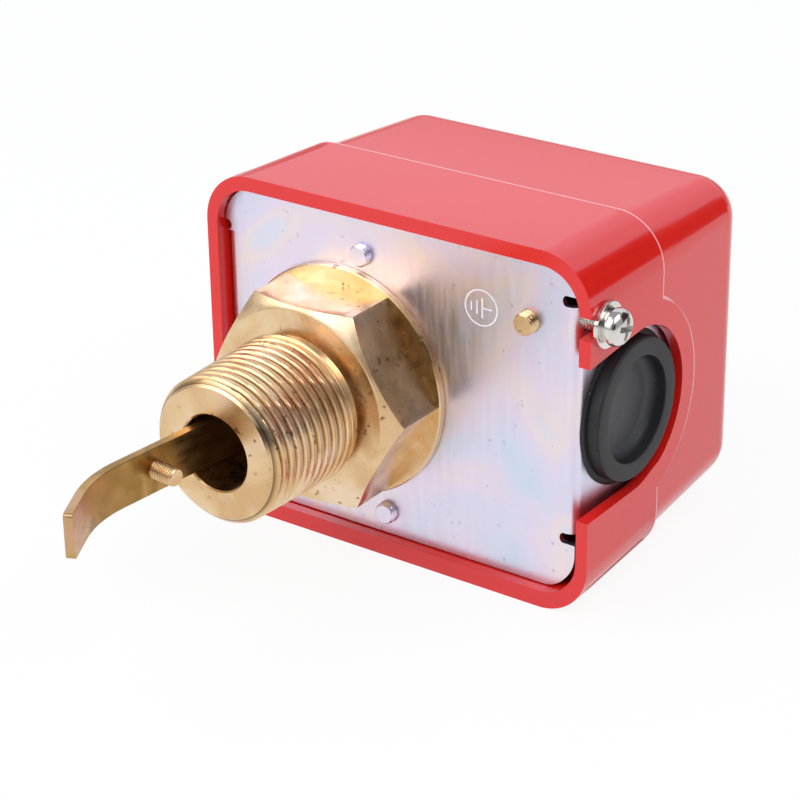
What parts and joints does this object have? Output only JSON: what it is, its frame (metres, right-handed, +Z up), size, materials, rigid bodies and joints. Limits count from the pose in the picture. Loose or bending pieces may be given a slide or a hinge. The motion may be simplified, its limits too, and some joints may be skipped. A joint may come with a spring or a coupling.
{
  "type": "paddle flow switch",
  "caption": "Paddle flow switch: a threaded brass pipe fitting on a plated base plate, with a paddle arm through a bellows seal that works a snap switch under a moulded cover.",
  "frame": {"origin": "on the pipe thread's axis, at the gauge plane of the R 1 taper thread", "axes": "-Y along the pipe thread's axis towards its nose and the paddle, +X to the cable entry, +Z up as the switch lies on its cover"},
  "size_m": [0.1043, 0.1591, 0.082],
  "materials": {
    "brass": "machined",
    "zinc_plated_steel": "clear passivated",
    "phosphor_bronze": "drawn",
    "bronze_strip": "rolled, tarnished",
    "bright_steel": "nickel plated",
    "switch_plastic": "moulded",
    "black_rubber": "moulded",
    "red_abs": "moulded"
  },
  "bodies": {
    "housing": {"base_plate": "zinc_plated_steel", "pipe_fitting": "brass", "fitting_lock_ring": "brass", "bellows": "phosphor_bronze", "bellows_ring": "brass", "mechanism_bracket": "zinc_plated_steel", "bracket_washers": "zinc_plated_steel", "bracket_screws": "zinc_plated_steel", "pivot_pins": "bright_steel", "pivot_washers": "brass", "pivot_clips": "bright_steel", "switch_body": "switch_plastic", "leaf_pin": "bright_steel", "switch_screws": "bright_steel", "switch_nuts": "bright_steel", "terminal_plates": "brass", "terminal_clamps": "bright_steel", "terminal_screws": "bright_steel", "range_spring": "bright_steel", "earth_clamp": "brass", "earth_screw": "brass", "conduit_grommet": "black_rubber", "cover_screw": "bright_steel", "spring_washer": "bright_steel", "flat_washer": "bright_steel"},
    "paddle": {"paddle_arm": "bronze_strip", "paddle_stud": "brass", "arm_rivets": "brass", "rocker": "zinc_plated_steel", "actuator_button": "switch_plastic", "bellows_cap": "brass"},
    "leaf": {"switch_leaf": "bright_steel"},
    "plunger": {"switch_plunger": "switch_plastic"},
    "range_screw": {"range_screw": "brass", "range_clip": "bright_steel"},
    "spring_seat": {"spring_seat": "brass"},
    "cover": {"cover": "red_abs"}
  },
  "joints": [
    {"name": "paddle_swing", "type": "hinge", "parent": "housing", "child": "paddle", "pos_m": [-0.003, 0.0417, 0], "axis": [0, 0, 1], "range_deg": [0, 9.5], "stiffness_Nm_per_rad": 0.15, "springref_deg": -34.38, "deforming": ["bellows", "range_spring"]},
    {"name": "leaf_turn", "type": "hinge", "parent": "housing", "child": "leaf", "pos_m": [0.0064, 0.0497, 0.01358], "axis": [0, 0, 1], "range_deg": [0, 14.5]},
    {"name": "plunger_travel", "type": "slide", "parent": "housing", "child": "plunger", "axis": [-1, 0, 0], "range_m": [0, 0.0013]},
    {"name": "range_screw_turn", "type": "hinge", "parent": "housing", "child": "range_screw", "pos_m": [0, 0.0617, -0.009], "axis": [1, 0, 0], "range_deg": [-720, 720]},
    {"name": "spring_seat_travel", "type": "slide", "parent": "housing", "child": "spring_seat", "axis": [1, 0, 0], "range_m": [-0.0014, 0.0014]},
    {"name": "cover_slide", "type": "slide", "parent": "housing", "child": "cover", "axis": [0, 1, 0], "range_m": [0, 0.075]}
  ],
  "couplings": [
    {"joint": "leaf_turn", "follows": "paddle_swing", "ratio": 1.46},
    {"joint": "plunger_travel", "follows": "paddle_swing", "m_per_rad": 0.00772},
    {"joint": "range_screw_turn", "follows": "spring_seat_travel", "rad_per_m": -8976.6}
  ]
}
